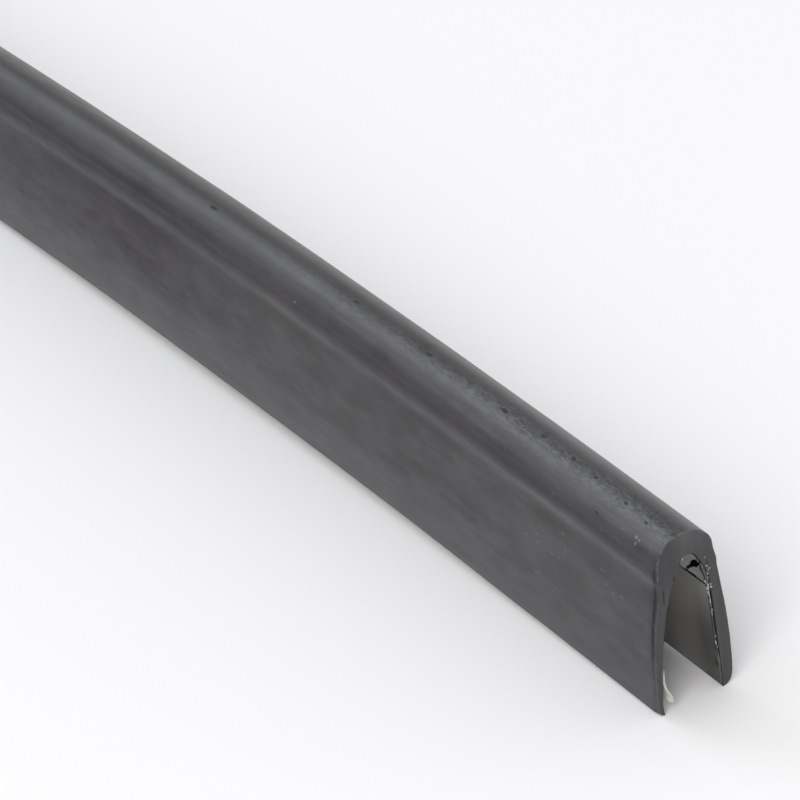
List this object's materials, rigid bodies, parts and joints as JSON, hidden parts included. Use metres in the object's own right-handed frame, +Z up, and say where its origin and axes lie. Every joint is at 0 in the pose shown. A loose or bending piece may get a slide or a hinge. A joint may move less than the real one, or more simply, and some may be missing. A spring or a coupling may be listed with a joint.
{
  "type": "edge trim seal",
  "caption": "Straight length of black rubber edge trim with a round head, two flaring legs and a slot lined with adhesive film for a sheet's edge.",
  "frame": {"origin": "middle of the strip's underside: half way along its length, at the middle of its overall width, on the floor that the leg tips stand on", "axes": "+X along the strip, towards the slightly bowed end that the picture shows; +Y across it, towards the thicker leg; +Z up from the slot's mouth towards the round head"},
  "size_m": [1.0008, 0.0088, 0.0216],
  "materials": {
    "black_rubber": "dull extruded rubber, faintly banded along its length, with small pits",
    "pale_adhesive": "thin translucent film, pale yellow green, ragged where it was cut"
  },
  "bodies": {
    "root": {"rubber_channel": "black_rubber", "adhesive_lining": "pale_adhesive"}
  },
  "joints": []
}
